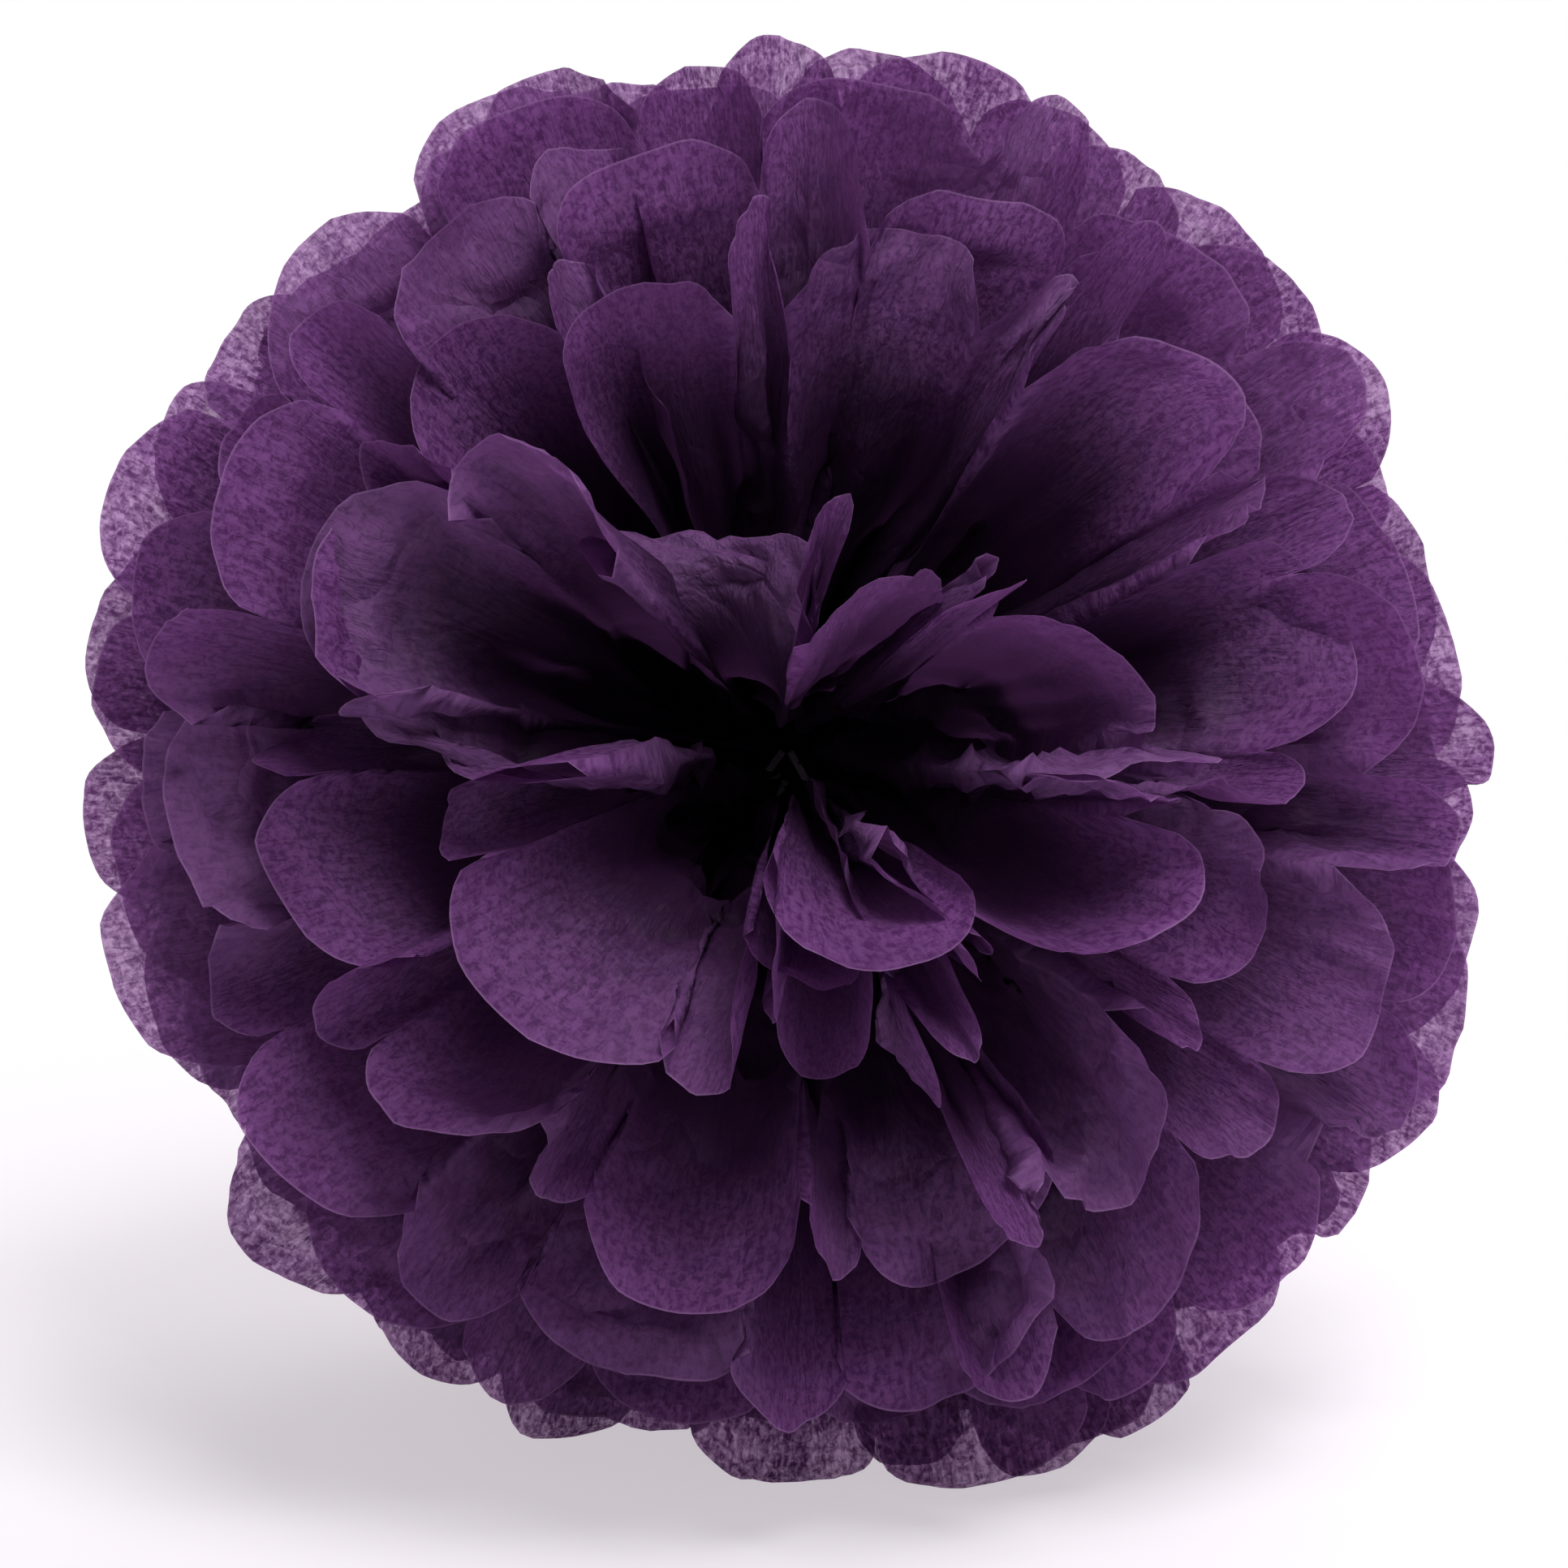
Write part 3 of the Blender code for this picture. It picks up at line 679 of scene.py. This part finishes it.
def tissue_material():
    """Thin mottled paper: it scatters, glows a little from behind and lets some sight through."""
    material, tree = new_material("purple_tissue")
    nodes = tree.nodes
    links = tree.links
    nodes.clear()
    output = nodes.new("ShaderNodeOutputMaterial")
    place = nodes.new("ShaderNodeUVMap")
    place.uv_map = "flat"
    edge = nodes.new("ShaderNodeUVMap")
    edge.uv_map = "rim"
    split = nodes.new("ShaderNodeSeparateXYZ")
    links.new(edge.outputs["UV"], split.inputs["Vector"])
    to_edge = split.outputs["X"]
    crumpled = split.outputs["Y"]

    def noise(scale, detail, roughness, distortion=0.0, stretch=(1, 1, 1), turn=0.0):
        mapping = nodes.new("ShaderNodeMapping")
        mapping.inputs["Scale"].default_value = stretch
        mapping.inputs["Rotation"].default_value = (0, 0, turn)
        links.new(place.outputs["UV"], mapping.inputs["Vector"])
        node = nodes.new("ShaderNodeTexNoise")
        node.inputs["Scale"].default_value = scale
        node.inputs["Detail"].default_value = detail
        node.inputs["Roughness"].default_value = roughness
        node.inputs["Distortion"].default_value = distortion
        links.new(mapping.outputs["Vector"], node.inputs["Vector"])
        return node.outputs

    def join(operation, first, second):
        return math_node(tree, operation, first, second)

    def weigh(first, share, second):
        return join("ADD", join("MULTIPLY", first, share), join("MULTIPLY", second, 1 - share))

    def grey_ramp(source, low, high, value_low, value_high):
        return ramp(tree, source, low, high, (value_low,) * 3, (value_high,) * 3)

    cloud = noise(scale=760, detail=3, roughness=0.68, distortion=0.5)["Fac"]
    streak = noise(520, 3, 0.65, distortion=0.8, stretch=(0.4, 1.6, 1), turn=0.12)["Fac"]
    broad = noise(scale=80, detail=2, roughness=0.55)
    mottle = weigh(cloud, CLOUD_SHARE, streak)
    thin = weigh(mottle, MOTTLE_SHARE, broad["Fac"])

    # Colour: mottled, paler in crumpled patches, with a painted highlight along the cut edge and painted
    # shade that darkens the paper further in from the cut edge
    reflect = ramp(tree, mottle, *COLOUR_RANGE, DENSE_COLOUR, THIN_COLOUR)
    # Paler in crumpled patches
    crumpled_pale = join("MULTIPLY", crumpled, join("MULTIPLY", mottle, CRUMPLED_PALE_SHARE))
    reflect = colour_mix(tree, crumpled_pale, reflect, CRUMPLED_PALE_COLOUR)
    # Painted highlight along the cut edge
    rim = grey_ramp(join("MULTIPLY", to_edge, 1000), *EDGE_HIGHLIGHT_RANGE_MM, EDGE_HIGHLIGHT_SHARE, 0)
    reflect = colour_mix(tree, rim, reflect, EDGE_HIGHLIGHT_COLOUR)
    # Painted shade, deepening inward from the cut edge
    inward_painted_shade = soft_step(tree, to_edge, *PAINTED_SHADE_RANGE, 0, PAINTED_SHADE_SHARE)
    reflect = colour_mix(tree, inward_painted_shade, reflect, PAINTED_SHADE_COLOUR)

    # Fibres and creases, as relief
    warped = nodes.new("ShaderNodeVectorMath")
    warped.operation = "MULTIPLY_ADD"
    warped.inputs[1].default_value = (CREASE_WARP, CREASE_WARP, 0)
    links.new(broad["Color"], warped.inputs[0])
    links.new(place.outputs["UV"], warped.inputs[2])
    creases = nodes.new("ShaderNodeTexVoronoi")
    creases.feature = "DISTANCE_TO_EDGE"
    creases.inputs["Scale"].default_value = CREASE_SCALE
    links.new(warped.outputs["Vector"], creases.inputs["Vector"])
    sharpness = join("ADD", join("MULTIPLY", crumpled, CREASE_MORE), CREASE_LEAST)
    fold = join("MULTIPLY", join("MINIMUM", creases.outputs["Distance"], CREASE_REACH), sharpness)
    bump = nodes.new("ShaderNodeBump")
    bump.inputs["Strength"].default_value = BUMP_STRENGTH
    bump.inputs["Distance"].default_value = BUMP_HEIGHT
    links.new(join("ADD", join("MULTIPLY", streak, FIBRE_RELIEF), fold), bump.inputs["Height"])

    paper = nodes.new("ShaderNodeBsdfPrincipled")
    paper.inputs["Roughness"].default_value = 0.6
    paper.inputs["Specular IOR Level"].default_value = 0.12
    links.new(reflect, paper.inputs["Base Color"])
    links.new(bump.outputs["Normal"], paper.inputs["Normal"])
    glow = nodes.new("ShaderNodeBsdfTranslucent")
    glow.inputs["Color"].default_value = (*GLOW_COLOUR, 1)
    solid = shader_mix(tree, GLOW_SHARE, paper.outputs["BSDF"], glow.outputs["BSDF"])

    # Sight passes through the thin spots near the cut edge, but light and shadow don't
    through = nodes.new("ShaderNodeBsdfTransparent")
    clear_colour = ramp(tree, thin, *THROUGH_RANGE, THROUGH_DENSE, THROUGH_THIN)
    links.new(clear_colour, through.inputs["Color"])
    path = nodes.new("ShaderNodeLightPath")
    lighting = join("MAXIMUM", path.outputs["Is Shadow Ray"], path.outputs["Is Diffuse Ray"])
    share = grey_ramp(thin, *THROUGH_RANGE, THROUGH_LEAST, THROUGH_MOST)
    share = join("MULTIPLY", share, join("SUBTRACT", 1, lighting))
    # The painted shade's ramp also shuts the see-through further in from the cut edge
    share = join("MULTIPLY", share, join("SUBTRACT", 1, inward_painted_shade))
    links.new(shader_mix(tree, share, solid, through.outputs["BSDF"]), output.inputs["Surface"])
    return material


# Tie strips

STRIP_DARK = (0.24, 0.17, 0.28)
STRIP_LIGHT = (0.50, 0.41, 0.55)


def strip_material():
    material, tree = new_material("dark_strip")
    shader = tree.nodes["Principled BSDF"]
    shader.inputs["Roughness"].default_value = 0.55
    noise = tree.nodes.new("ShaderNodeTexNoise")
    noise.inputs["Scale"].default_value = 900
    noise.inputs["Detail"].default_value = 4
    place = tree.nodes.new("ShaderNodeTexCoord")
    tree.links.new(place.outputs["Object"], noise.inputs["Vector"])
    colour = ramp(tree, noise.outputs["Fac"], 0, 1, STRIP_DARK, STRIP_LIGHT)
    tree.links.new(colour, shader.inputs["Base Color"])
    return material


def dress_strips(material):
    for node in ("tie_strip_a", "tie_strip_b"):
        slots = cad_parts[node].data.materials
        slots.clear()
        slots.append(material)


# Floor, light and camera

FLOOR_HALF = 6.0
FLOOR_COLOUR = (0.90, 0.86, 0.91)
PAINTED_SHADOW_LILAC = (1, 0.93, 1)
WHITE = (1, 1, 1)
FADE_START = 0.10
FADE_END = 0.40
FADE_LEAST = 0.56

WORLD_LIGHT = 0.32
KEY_SIZE = 1.1
KEY_POWER = 52.0
KEY_PLACE = (0.5, -0.95, 2.0)
BACK_SIZE = 1.4
BACK_POWER = 24.0
BACK_PLACE = (0.6, 1.4, 1.5)
LAMP_TARGET = (0, 0, 0.12)

CAMERA_RISE = math.radians(13)
CAMERA_DISTANCE = 1.6
FRAME_WIDTH = 0.281
SENSOR_WIDTH = 36
BALL_MIDDLE = Vector((0.0, 0.0, 0.1265))
AIM_LEFT = 0.0008
AIM_DOWN = 0.0089


def floor_material():
    """Matt and pale, with its cast shadow near the ball under a painted lilac tint, and plain white
    further out.
    """
    material, tree = new_material("pale_floor")
    nodes = tree.nodes
    shader = nodes["Principled BSDF"]
    shader.inputs["Base Color"].default_value = (*FLOOR_COLOUR, 1)
    shader.inputs["Roughness"].default_value = 0.9
    shader.inputs["Specular IOR Level"].default_value = 0.0
    place = nodes.new("ShaderNodeTexCoord")
    length = nodes.new("ShaderNodeVectorMath")
    length.operation = "LENGTH"
    tree.links.new(place.outputs["Object"], length.inputs[0])
    fade = soft_step(tree, length.outputs["Value"], FADE_START, FADE_END, FADE_LEAST, 1)
    path = nodes.new("ShaderNodeLightPath")
    seen = math_node(tree, "MULTIPLY", fade, path.outputs["Is Camera Ray"])
    white = nodes.new("ShaderNodeEmission")
    # Painted shadow tint: the emission is lilac near the ball, fading to white further out
    tree.links.new(ramp(tree, fade, FADE_LEAST, 1, PAINTED_SHADOW_LILAC, WHITE), white.inputs["Color"])
    surface = shader_mix(tree, seen, shader.outputs["BSDF"], white.outputs["Emission"])
    tree.links.new(surface, nodes["Material Output"].inputs["Surface"])
    return material


def make_floor():
    mesh = bpy.data.meshes.new("floor")
    ends = (-FLOOR_HALF, FLOOR_HALF)
    mesh.from_pydata([(x, y, 0) for y in ends for x in ends], [], [(0, 1, 3, 2)])
    mesh.materials.append(floor_material())
    floor = bpy.data.objects.new("floor", mesh)
    bpy.context.scene.collection.objects.link(floor)


def make_world():
    """Even soft light, with plain white where it is seen past the floor."""
    world = bpy.data.worlds.new("studio")
    bpy.context.scene.world = world
    world.use_nodes = True
    tree = world.node_tree
    tree.nodes.clear()
    output = tree.nodes.new("ShaderNodeOutputWorld")
    path = tree.nodes.new("ShaderNodeLightPath").outputs
    seen = math_node(tree, "MAXIMUM", path["Is Camera Ray"], path["Is Glossy Ray"])
    seen = math_node(tree, "MAXIMUM", seen, path["Is Transmission Ray"])
    light = tree.nodes.new("ShaderNodeBackground")
    light.inputs["Strength"].default_value = WORLD_LIGHT
    white = tree.nodes.new("ShaderNodeBackground")
    white.inputs["Strength"].default_value = 1.0
    surface = shader_mix(tree, seen, light.outputs["Background"], white.outputs["Background"])
    tree.links.new(surface, output.inputs["Surface"])


def make_lamp(name, size, power, place):
    data = bpy.data.lights.new(name, "AREA")
    data.size = size
    data.energy = power
    lamp = bpy.data.objects.new(name, data)
    bpy.context.scene.collection.objects.link(lamp)
    lamp.location = place
    lamp.rotation_euler = (Vector(LAMP_TARGET) - Vector(place)).to_track_quat("-Z", "Y").to_euler()


def make_camera():
    data = bpy.data.cameras.new("camera")
    camera = bpy.data.objects.new("camera", data)
    bpy.context.scene.collection.objects.link(camera)
    back = Vector((0, -math.cos(CAMERA_RISE), math.sin(CAMERA_RISE)))
    up = Vector((0, math.sin(CAMERA_RISE), math.cos(CAMERA_RISE)))
    aim = BALL_MIDDLE - up * AIM_DOWN - Vector((AIM_LEFT, 0, 0))
    camera.location = aim + back * CAMERA_DISTANCE
    camera.rotation_euler = (-back).to_track_quat("-Z", "Y").to_euler()
    data.sensor_width = SENSOR_WIDTH
    data.lens = SENSOR_WIDTH * CAMERA_DISTANCE / FRAME_WIDTH
    bpy.context.scene.camera = camera


tissue = tissue_material()
for opened_sheet in open_stack():
    make_sheet(opened_sheet, tissue)
dress_strips(strip_material())
make_floor()
make_world()
make_lamp("key", KEY_SIZE, KEY_POWER, KEY_PLACE)
make_lamp("back", BACK_SIZE, BACK_POWER, BACK_PLACE)
make_camera()
bpy.context.scene.view_settings.view_transform = "Standard"
